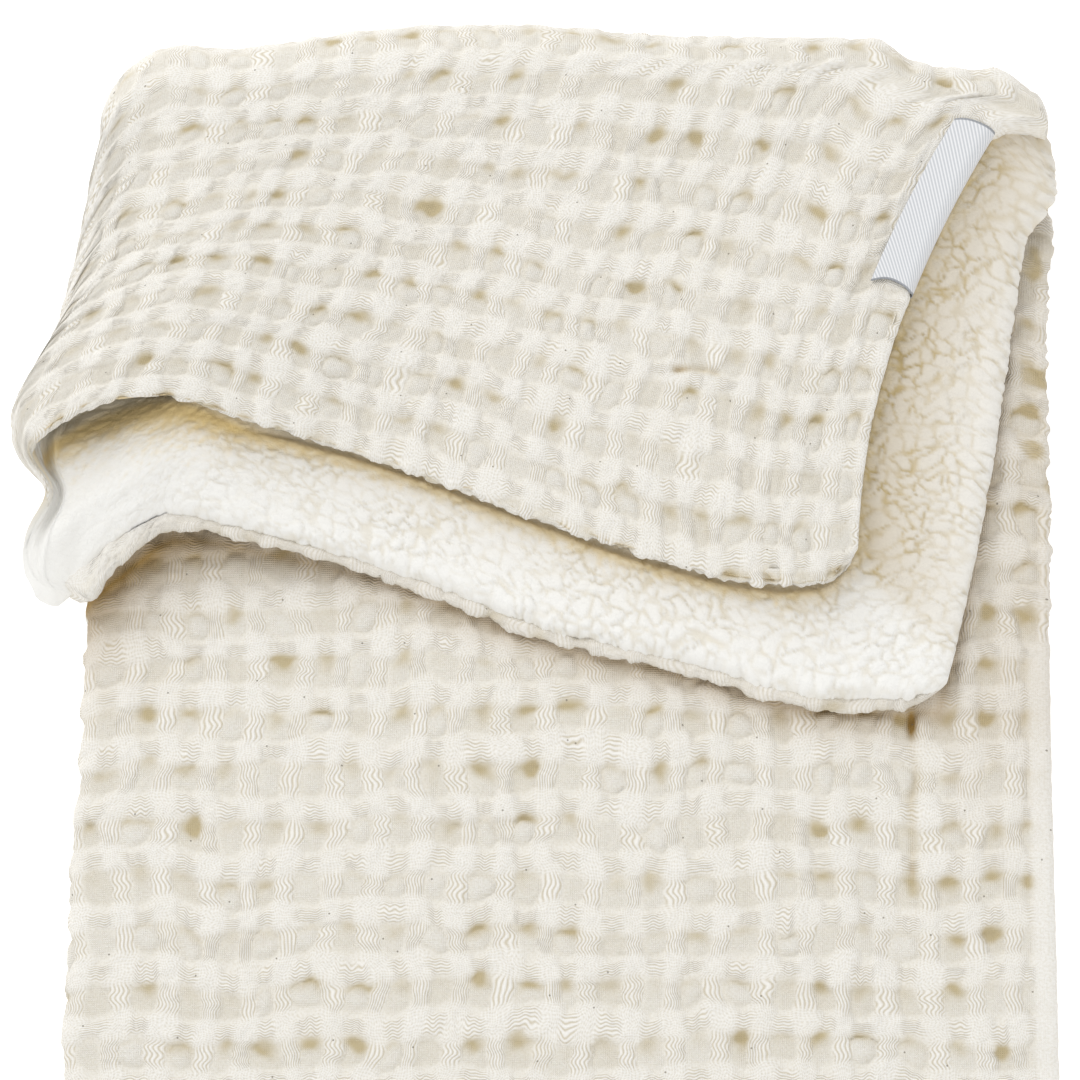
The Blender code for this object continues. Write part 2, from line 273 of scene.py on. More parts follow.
# Half the width and length of a cell's forms, before each one's own share of luck
CROSSING = (0.0064, 0.0066)
FLOAT_ACROSS = (0.0056, 0.0035)
FLOAT_ALONG = (0.0036, 0.0074)
DOME = (0.0039, 0.0045)
RIDGE = 0.0066  # the low ridge that a row of crossings stands on
POPPED = 0.42  # about this share of the patches stand up as domes
SUNK = 0.72  # and those past this share are sunk deepest
MELT = 6  # how sharply the forms stay apart where they meet
LUCK = (97, 89, 8)
luck = np.random.default_rng(11).random(LUCK)


def luck_at(i, j):
    return luck[i % LUCK[0], j % LUCK[1]]


def wander(u, v, pitch, which):
    """Smooth noise from -1 to 1 over the cloth, with features of this pitch."""
    a, b = u / pitch, v / pitch
    i, j = np.floor(a).astype(int), np.floor(b).astype(int)
    s, t = smooth(a - i), smooth(b - j)

    def at(m, n):
        return luck_at(m * 7 + 13 * which, n * 5 + 31 * which)[..., which % LUCK[2]]

    low = at(i, j) * (1 - s) + at(i + 1, j) * s
    high = at(i, j + 1) * (1 - s) + at(i + 1, j + 1) * s
    return 2 * (low * (1 - t) + high * t) - 1


def pillow(x, y, reach_x, reach_y):
    """A plump form of height 1 with steep sides."""
    return np.sqrt(np.clip(1 - np.abs(x / reach_x) ** 2.6 - np.abs(y / reach_y) ** 2.6, 0, 1))


def weave(u, v):
    """(height, floats across, floats along, painted shade in the pit, patch, slack of the floats,
    and the number of yarns across and along) there."""
    a = u / CELL_ACROSS + 0.17 * wander(u, v, 0.031, 1) + 0.16 * wander(u, v, 0.0125, 2)
    a = a + 0.050 * wander(u, v, 0.0046, 6)
    b = v / CELL_ALONG + 0.12 * wander(u, v, 0.037, 3) + 0.12 * wander(u, v, 0.0135, 4)
    b = b + 0.040 * wander(u, v, 0.0043, 7)
    i, j = np.rint(a).astype(int), np.rint(b).astype(int)
    k, m = np.floor(a).astype(int), np.floor(b).astype(int)
    x, y = (a - i) * CELL_ACROSS, (b - j) * CELL_ALONG  # from the nearest crossing
    cx, cy = (a - k - 0.5) * CELL_ACROSS, (b - m - 0.5) * CELL_ALONG  # from the patch's middle
    crossing_luck, patch_luck = luck_at(i, j), luck_at(k, m)
    across_luck, along_luck = luck_at(k, j + 40), luck_at(i + 50, m)
    seen_down = np.where(v > BODY_LENGTH + 0.02, -1.0, 1.0)

    crossing = pillow(
        x,
        y,
        CROSSING[0] + 0.0012 * crossing_luck[:, 0],
        CROSSING[1] + 0.0014 * crossing_luck[:, 1],
    )
    droop = 0.0016 * (across_luck[:, 0] - 0.3) * np.cos(math.pi * np.clip(cx / 0.010, -0.5, 0.5))
    hang = seen_down * (0.0006 + 0.0010 * (across_luck[:, 1] - 0.5))
    narrow = FLOAT_ACROSS[1] + 0.0008 * across_luck[:, 2]
    across = pillow(cx, y + hang + droop, FLOAT_ACROSS[0], narrow)
    bow = 0.0018 * (along_luck[:, 0] - 0.5) * np.cos(math.pi * np.clip(cy / 0.013, -0.5, 0.5))
    narrow = FLOAT_ALONG[0] + 0.0009 * along_luck[:, 1]
    along = pillow(x + bow, cy, narrow, FLOAT_ALONG[1])
    ridge = np.clip(1 - np.abs(y / RIDGE) ** 2.2, 0, 1) ** 0.7

    state = patch_luck[:, 5]
    washed = smooth((u - 0.05) / 0.14) * smooth((0.95 - v) / 0.08) * (v > BODY_LENGTH)
    popped = smooth((POPPED - 0.10 * washed - state) / 0.16 + 0.5)
    sunk = smooth((state - SUNK) / 0.20 + 0.5)
    dome = pillow(
        cx + 0.0010 * (patch_luck[:, 1] - 0.5),
        cy + 0.0012 * (patch_luck[:, 2] - 0.5),
        DOME[0] + 0.0008 * patch_luck[:, 3],
        DOME[1] + 0.0010 * patch_luck[:, 4],
    )
    flush = (0.34 + 0.20 * patch_luck[:, 0]) * (1 - 0.45 * popped) * (1 - 0.8 * sunk)
    flush = flush * np.clip(1 - (cx / 0.0066) ** 4 - (cy / 0.0078) ** 4, 0, 1)
    stand = sum(
        (high * part) ** MELT
        for high, part in (
            (0.80 + 0.26 * crossing_luck[:, 2], crossing),
            (0.62 + 0.30 * across_luck[:, 3], across),
            (0.56 + 0.34 * along_luck[:, 3], along),
            (0.44, ridge),
            ((0.52 + 0.40 * patch_luck[:, 6]) * popped, dome),
        )
    )
    stand = np.maximum(stand ** (1 / MELT), flush)
    # Each patch is deepest at its upper side, under the float above it
    aside = cx + 0.0030 * (patch_luck[:, 1] - 0.5)
    above = seen_down * cy - 0.0036 + 0.0016 * wander(u, v, 0.0045, 2)
    under = bell(aside / 0.0036, above / 0.0029) * patch_luck[:, 7] ** 1.5
    low = np.clip(1 - stand, 0, 1)
    stand = stand - 0.50 * under * low
    strong = (0.94 + 0.26 * wander(u, v, 0.045, 7)) * (1 - 0.24 * washed)
    stand = 1 - (1 - stand) * strong
    stand = stand + 0.12 * wander(u, v, 0.0025, 5) + 0.15 * wander(u, v, 0.0047, 0)
    stand = stand + 0.12 * wander(u, v, 0.0170, 6)
    high = -PIT_DEPTH + (PIT_DEPTH + CROSSING_HIGH) * stand
    ends = 1 - smooth((np.abs(cx) - 0.0026) / 0.0030)
    loose_across = ends * smooth((across - 0.20) / 0.6)
    ends = 1 - smooth((np.abs(cy) - 0.0036) / 0.0030)
    loose_along = ends * smooth((along - 0.15) / 0.5) * (1 - loose_across)
    on_crossing = 0.30 * smooth((crossing - 0.15) / 0.5) * (1 - loose_across) * (1 - loose_along)
    loose_across, loose_along = loose_across + on_crossing, loose_along + on_crossing
    # Painted shade in the low places, most at each patch's upper side under the float above it
    painted_pit_shade = np.clip((0.24 + 1.75 * under) * low**1.2, 0, 1)
    patch = np.clip(1.4 - np.abs(cx / 0.0046) ** 3 - np.abs(cy / 0.0056) ** 3, 0, 1)
    slack = np.where(loose_across > loose_along, across_luck[:, 6], along_luck[:, 6])
    eye = 1 + 0.55 * (along_luck[:, 5] > 0.45) * np.cos(math.pi * np.clip(cy / 0.012, -0.5, 0.5))
    return (
        high,
        loose_across,
        loose_along,
        painted_pit_shade,
        patch,
        0.20 + 0.80 * slack,
        (y + hang + 1.5 * droop) / THREAD,
        (x + 1.3 * bow) / (THREAD * eye),
    )


# Beside the bend the near edge is drawn wide, to a shoulder
SHOULDER_AT = BODY_LENGTH + 0.051
SHOULDER_REACH = 0.029
SHOULDER_WIDE = 0.0010
SHOULDER_DEEP = 1.9
SHOULDER_STRETCH = 1.6  # how much longer than its weave the roll is there
TOP_HEM_LOWER = 0.14  # the top layer's far hem rises less
WIDE_LIP_HIGHER = 0.34  # and the wide lip more
SIDE_BAND = 0.0065


def hemmed(p, q, high, lip):
    """(u, v, w) of points of the hemmed cloth that stand this high. Past the cut edge p and q run
    on round the hem's roll and over the pile, and the corners are round."""
    near_u = np.clip(p, CORNER_RADIUS, CLOTH_WIDTH - CORNER_RADIUS)
    near_v = np.clip(q, CORNER_RADIUS, CLOTH_LENGTH - CORNER_RADIUS)
    x, y = (p - near_u) / CORNER_RADIUS, (q - near_v) / CORNER_RADIUS
    out = np.maximum(np.abs(x), np.abs(y))
    inset = CORNER_RADIUS * (1 - out)
    turn = np.clip((RIM - inset) / (2 * RIM), 0, 1) * math.pi
    shoulder = bell((q - SHOULDER_AT) / SHOULDER_REACH) * (p < FOLD_MIDDLE)
    shoulder = shoulder * np.clip(1 - inset / 0.03, 0, 1)
    past = np.clip(-inset - RIM, 0, None) * lip / LIP
    rolled = np.select([inset >= RIM, inset > -RIM], [inset, RIM * (1 - np.sin(turn))], RIM + past)
    rolled = rolled - high * np.sin(turn)
    tucked = 0.0016 * smooth(past / np.maximum(lip, 1e-6))
    top_hem = (p < FOLD_MIDDLE - 0.010) * smooth((q - CLOTH_LENGTH + 0.05) / 0.03)
    rise = LIP_RISE - TOP_HEM_LOWER * top_hem + WIDE_LIP_HIGHER * (lip - LIP) / (WIDE_LIP - LIP)
    rise = rise + SHOULDER_DEEP * shoulder
    w = CLOTH_THICK / 2 * rise * (1 - np.cos(turn)) - high * np.cos(turn) - tucked
    scale = np.where(out > 0, (1 - rolled / CORNER_RADIUS) / np.maximum(out, 1e-9), 1.0)
    flat = inset >= CORNER_RADIUS
    x, y = x * scale, y * scale
    u = near_u + CORNER_RADIUS * x * np.sqrt(np.clip(1 - y * y / 2, 0, 1))
    v = near_v + CORNER_RADIUS * y * np.sqrt(np.clip(1 - x * x / 2, 0, 1))
    u, v = np.where(flat, p, u), np.where(flat, q, v)
    return u - SHOULDER_WIDE * shoulder, v, np.where(rise > 1, np.minimum(w, CLOTH_THICK * rise), w)


def inset_of(p, q):
    """How far points of the cloth lie inside its cut edge."""
    return np.minimum(np.minimum(p, CLOTH_WIDTH - p), np.minimum(q, CLOTH_LENGTH - q))


def stations(*runs):
    """Places along the cloth from runs of (start, end, spacing), one taking up from the last."""
    places = [runs[0][0]]
    for start, end, spacing in runs:
        count = max(1, round(abs(end - start) / spacing))
        places += [start + (end - start) * (k + 1) / count for k in range(count)]
    return np.array(places)


def sheet_of(name, columns, rows, surface, inward=False):
    """A sheet on these columns and rows of the cloth. surface gives each point's place, its u and
    v, and the values of its attributes."""
    bpy.ops.object.select_all(action="DESELECT")
    bpy.ops.mesh.primitive_grid_add(
        x_subdivisions=len(columns) - 1, y_subdivisions=len(rows) - 1, size=1
    )
    piece = bpy.context.object
    piece.name = piece.data.name = name
    p, q = np.tile(columns, len(rows)), np.repeat(rows, len(columns))
    places, u, v, values = surface(p, q)
    mesh = piece.data
    mesh.vertices.foreach_set("co", places.astype(np.float32).ravel())
    corner = np.empty(len(mesh.loops), np.int32)
    mesh.loops.foreach_get("vertex_index", corner)
    cloth_uv = np.column_stack((u, v))[corner].astype(np.float32)
    mesh.uv_layers.active.data.foreach_set("uv", cloth_uv.ravel())
    for attribute, colour in values.items():
        held = mesh.attributes.new(attribute, "FLOAT_COLOR", "POINT")
        held.data.foreach_set("color", np.column_stack(colour).astype(np.float32).ravel())
    if inward:
        mesh.flip_normals()
    mesh.update()
    mesh.shade_smooth()
    return piece


def beyond(places, hem, side):
    """How far points lie past a layer's free side and its far hem, given points of both."""
    past_side = places[:, 0] - np.interp(places[:, 1], side[:, 1], side[:, 0])
    below_hem = np.interp(places[:, 0], hem[:, 0], hem[:, 1]) - places[:, 1]
    return past_side, below_hem


def outline(hem_u, side_u):
    """A layer's far hem from left to right, and its free side from near to far."""
    across = np.linspace(hem_u[0], hem_u[1], 120)
    along = np.linspace(CLOTH_LENGTH, BODY_LENGTH + 0.05, 90)
    hem = laid(across, np.full(120, CLOTH_LENGTH), np.zeros(120))
    side = laid(np.full(90, side_u), along, np.zeros(90))
    return hem[np.argsort(hem[:, 0])], side[np.argsort(side[:, 1])]


top_outline = outline((FLAT_RUN, 0.0), 0.0)
lower_outline = outline((FOLD_ENDS, CLOTH_WIDTH), CLOTH_WIDTH)

# Where a soft edge moves across or back, for points that lie above this height
Nudge = namedtuple("Nudge", "x y reach_x reach_y across back above")
NUDGES = (
    Nudge(-0.206, 0.2400, 0.018, 0.030, -0.0020, 0.0, 0.022),
    Nudge(-0.206, 0.2080, 0.016, 0.020, -0.0068, 0.0, 0.022),
    Nudge(-0.206, 0.1820, 0.022, 0.009, 0.0085, 0.0, 0.022),
    Nudge(-0.206, 0.1730, 0.022, 0.008, 0.0030, 0.0, 0.022),
    Nudge(-0.206, 0.1570, 0.022, 0.012, -0.0006, 0.0, 0.022),
    Nudge(-0.192, 0.1370, 0.026, 0.009, 0.0085, 0.0040, 0.022),
    Nudge(-0.177, 0.1450, 0.010, 0.009, 0.0, -0.0035, 0.022),
    Nudge(-0.148, 0.3480, 0.012, 0.025, 0.0, 0.0016, -1.0),
    Nudge(0.198, 0.3450, 0.022, 0.030, -0.0015, -0.0060, -1.0),
    Nudge(0.193, 0.3050, 0.015, 0.060, 0.0036, 0.0, -1.0),
    Nudge(0.198, 0.2900, 0.015, 0.022, 0.0016, 0.0, -1.0),
    Nudge(0.195, 0.1900, 0.015, 0.045, 0.0022, 0.0, -1.0),
    Nudge(-0.180, 0.0450, 0.020, 0.018, -0.0016, 0.0, -1.0),
    Nudge(-0.180, -0.0160, 0.020, 0.018, -0.0020, 0.0, -1.0),
    Nudge(0.193, 0.3040, 0.020, 0.018, 0.0012, 0.0, 0.015),
)
TIP_Y = 0.1405


def settle(places):
    """Where the soft edges bulge, tuck or stand fuller than the plain fold."""
    x, y, z = places.T
    across, back = np.zeros(len(x)), np.zeros(len(x))
    for nudge in NUDGES:
        near = bell((x - nudge.x) / nudge.reach_x, (y - nudge.y) / nudge.reach_y)
        near = near * smooth((z - nudge.above) / 0.008)
        across, back = across + nudge.across * near, back + nudge.back * near
    return np.column_stack((x + across, y + back, np.maximum(z, 0.0)))


def blunted(places, q):
    """The hem's tip beside the lengthwise fold, which is blunt."""
    x, y, z = places.T
    tip_y = TIP_Y + 0.0042 * smooth((-0.186 - x) / 0.012)
    tip = smooth((-0.165 - x) / 0.010) * (q > 0.9) * (y < tip_y)
    return np.column_stack((x, y + 0.80 * tip * (tip_y - y), z))


CREASE_DEEP = 0.0030
CREASE_REACH = 0.0021
Crease = namedtuple("Crease", "x y slant half_length deep above")
CREASES = (
    Crease(0.1374, 0.0700, math.pi / 2, 0.042, 1.0, 0.010),
    Crease(0.0560, 0.2290, -0.08, 0.012, 0.8, 0.030),
)


def waffle(p, q):
    """The waffle cloth's outer face."""
    inset = inset_of(p, q)
    beside_fold = bell((FOLD_ENDS + 0.010 - p) / 0.045) * (q > CLOTH_LENGTH / 2)
    lip = LIP + (WIDE_LIP - LIP) * beside_fold * smooth((p - FOLD_MIDDLE - 0.004) / 0.014)
    # The weave keeps its size where the hem's lip and the shoulder are drawn wide
    wide = SHOULDER_STRETCH * bell((q - SHOULDER_AT) / SHOULDER_REACH) * (p < FOLD_MIDDLE)
    cloth_p = p + wide * np.minimum(p - RIM, 0)
    cloth_q = q + np.clip(q - CLOTH_LENGTH - RIM, 0, None) * (lip / LIP - 1)
    high, across, along, painted_pit_shade, patch, slack, yarn_across, yarn_along = weave(cloth_p, cloth_q)
    side_inset = np.minimum(p, CLOTH_WIDTH - p)
    # The strip's free sides are drawn tight into a plain band
    in_band = 1 - smooth((side_inset - SIDE_BAND) / 0.0035)
    plain = 1 - 0.85 * in_band * (1 - smooth((q - 0.50) / 0.02))
    plain = plain * (0.60 + 0.40 * smooth((inset + 0.5 * RIM) / 0.005))
    ragged = 0.0010 * wander(p, cloth_q, 0.0058, 3) + 0.0009 * wander(p, cloth_q, 0.0029, 6)
    ragged = ragged + 0.0008 * wander(p, cloth_q, 0.0016, 1)
    at_edge = 1 - smooth(inset / 0.004)
    standing = high * plain + (1 - plain) * 0.0002 + at_edge * plain * ragged
    under_label = 1 - smooth((p - LABEL_LEG - 0.001) / 0.003)
    under_label = under_label * smooth((q - LABEL_FROM + 0.002) / 0.002)
    under_label = under_label * (1 - smooth((q - LABEL_FROM - LABEL_LENGTH) / 0.002))
    standing = standing + (-LABEL_PRESSES - standing) * under_label
    u, v, w = hemmed(p, q, standing, lip)
    v = v - 0.0040 * capped(p) ** 2 * smooth((q - CLOTH_LENGTH + 0.030) / 0.020)
    places = blunted(settle(laid(u, v, w)), q)
    x, y, z = places.T
    sunk = np.zeros(len(p))
    for crease in CREASES:
        run = (x - crease.x) * math.cos(crease.slant) + (y - crease.y) * math.sin(crease.slant)
        off = (y - crease.y) * math.cos(crease.slant) - (x - crease.x) * math.sin(crease.slant)
        off = off + 0.0012 * wander(p, q, 0.012, 5)
        along_it = 1 - smooth((np.abs(run) / crease.half_length - 0.6) / 0.4)
        dent = along_it * crease.deep * bell(off / CREASE_REACH)
        sunk = sunk + dent * smooth((z - crease.above) / 0.004)
    sunk = sunk * (0.65 + 0.55 * wander(p, q, 0.0085, 4))
    places = np.column_stack((x, y, np.maximum(z - CREASE_DEEP * sunk, 0.0)))
    sunk = np.clip(sunk, 0, 1)
    # Painted shade in the creases
    painted_pit_shade = painted_pit_shade + 0.6 * sunk**1.5
    # The strip's upper face is in the shade beside and below the layer that covers it
    past_side, below_hem = beyond(places, *lower_outline)
    covered = np.clip(-np.maximum(past_side, below_hem), 0, None)
    past_side, below_hem = np.clip(past_side, 0, None), np.clip(below_hem, 0, None)
    lifted = bell((places[:, 0] + 0.165) / 0.040)
    reach = 0.0058 + 0.0100 * lifted
    shade = np.exp(-np.hypot(past_side, below_hem) / reach) * (0.60 + 0.40 * lifted)
    shade = shade * np.exp(-covered / 0.012)
    beside = smooth(past_side / 0.002) * np.exp(-below_hem / 0.030)
    shade = np.maximum(shade, 0.16 * beside)
    strip_side = beside * (p > FOLD_MIDDLE) * smooth((q - 0.55) / 0.03)
    # Painted shade in patches of pits along the strip's side, beside the covering layer
    painted_side_pit_shade = smooth((wander(p, q, 0.0080, 2) - 0.25) / 0.35)
    painted_side_pit_shade = painted_side_pit_shade * (1 - smooth((side_inset - 0.004) / 0.010))
    painted_pit_shade = painted_pit_shade * (1 + 0.6 * strip_side) + 0.8 * strip_side * painted_side_pit_shade
    painted_pit_shade = np.clip(painted_pit_shade, 0, 1)
    # Painted shade kept to the strip, and deepest along the creases
    shade = shade * (p > FOLD_MIDDLE) * (q < BODY_LENGTH) + 0.9 * sunk**4
    # and painted shade makes the lower layer's hem a little greyer than its face
    hem_shade = 0.09 * (inset < RIM) * (p > FOLD_MIDDLE) * (q > BODY_LENGTH) * (1 - beside_fold)
    shade = np.maximum(shade, hem_shade)
    return places, cloth_p, cloth_q, {
        "weave": (across * plain, along * plain, patch * plain, painted_pit_shade * plain),
        "yarn": (yarn_across, yarn_along, shade, slack),
    }


def capped(p):
    """1 where the pile bulges out over the far hem, at the lengthwise fold, else 0."""
    past = p - FOLD_MIDDLE
    return smooth((past + 0.010) / 0.010) * (1 - smooth((past - 0.012) / 0.018))


# The cloth is pressed flat under the label, which is this wide and long
LABEL_LEG = 0.0185
LABEL_LENGTH = 0.0700
LABEL_FROM = float(bend_end(np.zeros(1))[0]) + 0.0030
LABEL_PRESSES = 0.0006

# The cloth is made as several sheets. They share a line of points or lap over each other, a little
# off the middle of the lengthwise fold, short of the bend, and under the turned-over end.
SEAM = 0.014
LAP = 0.001
HEM_STEP = 0.0009
CELL_STEP = 0.00086
FOLD_STEP = 0.0012
STRIP_NEAR = 0.325
STRIP_FAR = 0.585
lip_end = RIM + LIP
hem_inside = RIM * 2
far_hem = (CLOTH_LENGTH - hem_inside, CLOTH_LENGTH + lip_end, HEM_STEP)
free_edge = (CLOTH_WIDTH - hem_inside, CLOTH_WIDTH + lip_end, 0.0010)
bend_seam = BODY_LENGTH - 0.012

# The top layer of the turned-over end, round the bend
across_top = stations(
    (-lip_end, hem_inside, HEM_STEP),
    (hem_inside, FLAT_RUN, CELL_STEP),
    (FLAT_RUN, FOLD_MIDDLE + SEAM, FOLD_STEP),
)
along_top = stations((bend_seam, far_hem[0], HEM_STEP), far_hem)
half = len(across_top) // 2
# and its lower layer, which lies on the strip
across_lower = stations(
    (FOLD_MIDDLE + SEAM - LAP, FOLD_ENDS, 0.0013),
    (FOLD_ENDS, free_edge[0], 0.0012),
    free_edge,
)
along_lower = stations(
    (bend_seam, CLOTH_LENGTH - 0.030, 0.0060),
    (CLOTH_LENGTH - 0.030, far_hem[0], 0.0018),
    (far_hem[0], CLOTH_LENGTH + RIM, HEM_STEP),
    (CLOTH_LENGTH + RIM, far_hem[1], 0.00027),
)
# The strip's upper layer: the part in front of the turned-over end, under it, and the near end
across_strip_top = stations(
    (FOLD_MIDDLE - SEAM, FOLD_ENDS, FOLD_STEP), (FOLD_ENDS, free_edge[0], CELL_STEP), free_edge
)
along_strip = stations((STRIP_NEAR, STRIP_FAR, HEM_STEP))
middle = len(across_strip_top) // 2
across_coarse = stations(
    (FOLD_MIDDLE - SEAM, FOLD_ENDS, 0.0018),
    (FOLD_ENDS, CLOTH_WIDTH - 0.050, 0.0050),
    (CLOTH_WIDTH - 0.050, free_edge[0], 0.0010),
    free_edge,
)
along_hidden = stations((STRIP_FAR - LAP, BODY_LENGTH - 0.002, 0.0011))
across_foot = stations(
    (FOLD_MIDDLE - SEAM, FOLD_ENDS, 0.0018), (FOLD_ENDS, free_edge[0], 0.0020), free_edge
)
near_hem = (-lip_end, hem_inside, 0.0012)
along_foot = stations(near_hem, (hem_inside, STRIP_NEAR + LAP / 2, 0.0024))
# The strip's underside
across_under = stations(
    near_hem, (hem_inside, FLAT_RUN, 0.0036), (FLAT_RUN, FOLD_MIDDLE - SEAM + LAP, 0.0016)
)
along_under = stations(near_hem, (hem_inside, bend_seam + LAP, 0.0044))


def sheets(plan, surface, inward=False):
    """The sheets of a plan, each with the flat size that it was cut to."""
    made = {}
    for name, (columns, rows) in plan.items():
        piece = sheet_of(name, columns, rows, surface, inward)
        made[piece] = (float(np.ptp(columns)), float(np.ptp(rows)))
    return made


waffle_cloths = sheets(
    {
        "waffle_top_left": (across_top[half:], along_top),
        "waffle_top_right": (across_top[: half + 1], along_top),
        "waffle_lower_layer": (across_lower, along_lower),
        "waffle_strip_left": (across_strip_top[: middle + 1], along_strip),
        "waffle_strip_right": (across_strip_top[middle:], along_strip),
        "waffle_strip_covered": (across_coarse, along_hidden),
        "waffle_near_end": (across_foot, along_foot),
        "waffle_underside": (across_under, along_under),
    },
    waffle,
)


def linear(code):
    """An sRGB hex colour as linear values."""
    parts = [int(code[k : k + 2], 16) / 255 for k in (1, 3, 5)]
    return (*(c / 12.92 if c <= 0.04045 else ((c + 0.055) / 1.055) ** 2.4 for c in parts), 1.0)


def add_node(tree, kind, inputs=(), **settings):
    """A node with its settings, and a value or a link for each socket, by name or in order. A node
    that is linked gives its first output."""
    node = tree.nodes.new("ShaderNode" + kind)
    for key, value in settings.items():
        setattr(node, key, value)
    for socket, source in inputs.items() if isinstance(inputs, dict) else enumerate(inputs):
        if isinstance(source, bpy.types.Node):
            source = source.outputs[0]
        if isinstance(source, bpy.types.NodeSocket):
            tree.links.new(source, node.inputs[socket])
        else:
            node.inputs[socket].default_value = source
    return node


def new_material(name):
    """A material with an empty tree, and the cloth's own uv in it, in metres."""
    material = bpy.data.materials.new(name)
    material.use_nodes = True
    tree = material.node_tree
    tree.nodes.clear()
    return material, tree, add_node(tree, "UVMap").outputs["UV"]


def toned(tree, colour, *tones):
    """The colour with each tone laid over it, by a share of the surface times a strength."""
    for share, strength, tone in tones:
        amount = add_node(tree, "Math", (share, strength), operation="MULTIPLY")
        inputs = {0: amount, 6: colour, 7: linear(tone)}  # the factor and the two colours
        colour = add_node(tree, "Mix", inputs, data_type="RGBA").outputs[2]
    return colour


def ridges(tree, count):
    """Rounded ridges, one for each whole number of the count, from 0 in a groove to 1 on top."""
    turned = add_node(tree, "Math", (count, 2 * math.pi), operation="MULTIPLY")
    wave = add_node(tree, "Math", (turned,), operation="SINE")
    return add_node(tree, "Math", (wave, 0.5, 0.5), operation="MULTIPLY_ADD")


# Undyed cotton, woven and washed: dull, no gloss, faintly warm, with painted warm shade in the pits
# and in the grooves between yarns, where the light bounces, and a painted highlight on the yarns'
# tops. Each scale is one over the size of what it draws, in metres.
PLAIN_THREAD = 0.00080  # between two yarns of the plain-woven patch
SLUB_SCALE = 420.0  # a thick place in a yarn, 2.4 mm long
GATHER_SCALE = 60.0  # yarns swing together over 17 mm
FUZZ_SCALE = 1100.0  # loose fibre, 0.9 mm
SEED_SCALE = 30.0  # a seed fleck for every 33 mm
waffle_cotton, tree, uv = new_material("waffle cotton, washed")
place = add_node(tree, "SeparateXYZ", (uv,)).outputs
weave_held = add_node(tree, "Attribute", attribute_name="weave").outputs
share = add_node(tree, "SeparateColor", (weave_held["Color"],)).outputs
yarn_held = add_node(tree, "Attribute", attribute_name="yarn").outputs
yarn = add_node(tree, "SeparateColor", (yarn_held["Color"],)).outputs
slub = add_node(tree, "TexNoise", {"Vector": uv, "Scale": SLUB_SCALE, "Detail": 1.0})
gather = add_node(tree, "TexNoise", {"Vector": uv, "Scale": GATHER_SCALE, "Detail": 0.0})
fuzz = add_node(
    tree, "TexNoise", {"Vector": uv, "Scale": FUZZ_SCALE, "Detail": 3.0, "Roughness": 0.65}
).outputs["Fac"]
stray = add_node(tree, "Math", (slub.outputs["Fac"], 0.22), operation="MULTIPLY")
together = add_node(tree, "Math", (gather.outputs["Fac"], 5.5), operation="MULTIPLY")


def float_yarns(count, run, wave, bend):
    """A float's yarns, waved along their run, because a float shrinks less than its length."""
    strayed = add_node(tree, "Math", (count, stray), operation="ADD")
    turned = add_node(tree, "Math", (run, 2 * math.pi / wave, together), operation="MULTIPLY_ADD")
    swing = add_node(tree, "Math", (turned,), operation="SINE")
    bent = add_node(tree, "Math", (yarn_held["Alpha"], bend), operation="MULTIPLY")
    return ridges(tree, add_node(tree, "Math", (swing, bent, strayed), operation="MULTIPLY_ADD"))


floats, grooves = 0.0, 0.0
for top, held in (
    (float_yarns(yarn["Red"], place["X"], 0.0044, 0.50), share["Red"]),
    (float_yarns(yarn["Green"], place["Y"], 0.0064, 0.62), share["Green"]),
):
    groove = add_node(tree, "Math", (1.0, top), operation="SUBTRACT")
    floats = add_node(tree, "Math", (top, held, floats), operation="MULTIPLY_ADD")
    grooves = add_node(tree, "Math", (groove, held, grooves), operation="MULTIPLY_ADD")
plain = 0.0
for way in ("Y", "X"):
    count = add_node(tree, "Math", (place[way], 1 / PLAIN_THREAD), operation="MULTIPLY")
    plain = add_node(tree, "Math", (ridges(tree, count), plain), operation="ADD")
woven = add_node(tree, "Math", (share["Blue"], 0.36, 0.24), operation="MULTIPLY_ADD")
relief = add_node(tree, "Math", (plain, woven, floats), operation="MULTIPLY_ADD")
relief = add_node(tree, "Math", (fuzz, 0.8, relief), operation="MULTIPLY_ADD")
seeds = add_node(
    tree, "TexVoronoi", {"Vector": uv, "Scale": SEED_SCALE}, voronoi_dimensions="2D"
).outputs["Distance"]
colour = toned(
    tree,
    linear("#F0EEE9"),
    (add_node(tree, "Math", (0.60, fuzz), operation="SUBTRACT"), 2.2, "#DCD6C8"),
    (share["Blue"], 0.16, "#D9D1BF"),
    # painted shade in the grooves between the float yarns
    (add_node(tree, "Math", (grooves, 1.6), operation="POWER"), 0.75, "#C8BDA4"),
    # painted highlight on the yarns' tops, on the floats and a little on the crossings
    (floats, 0.8, "#F5F3EF"),
    (weave_held["Alpha"], 0.9, "#BFAF87"),  # painted shade in the pits, the creases and beside the covering layer
    (yarn["Blue"], 1.0, "#A3844C"),  # the shade under a layer
    (add_node(tree, "Math", (seeds, 0.011), operation="LESS_THAN"), 0.75, "#7C7466"),
)
shader = add_node(
    tree,
    "BsdfPrincipled",
    {
        "Base Color": colour,
        "Roughness": 0.95,
        "Normal": add_node(tree, "Bump", {"Strength": 1.0, "Distance": 0.00021, "Height": relief}),
        "Specular IOR Level": 0.2,
    },
)
add_node(tree, "OutputMaterial", {"Surface": shader})

for piece, flat in waffle_cloths.items():
    piece.data.materials.append(waffle_cotton)
    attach(piece, "root")
    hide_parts("waffle_face")

# ---------------------------------------------------------------------------------------------
# The lining: curly cotton pile knitted on a fine backing. Its tufts felt into small rounded nubs
# with narrow shaded cracks between them, and they bulge over the edge of the lower layer.

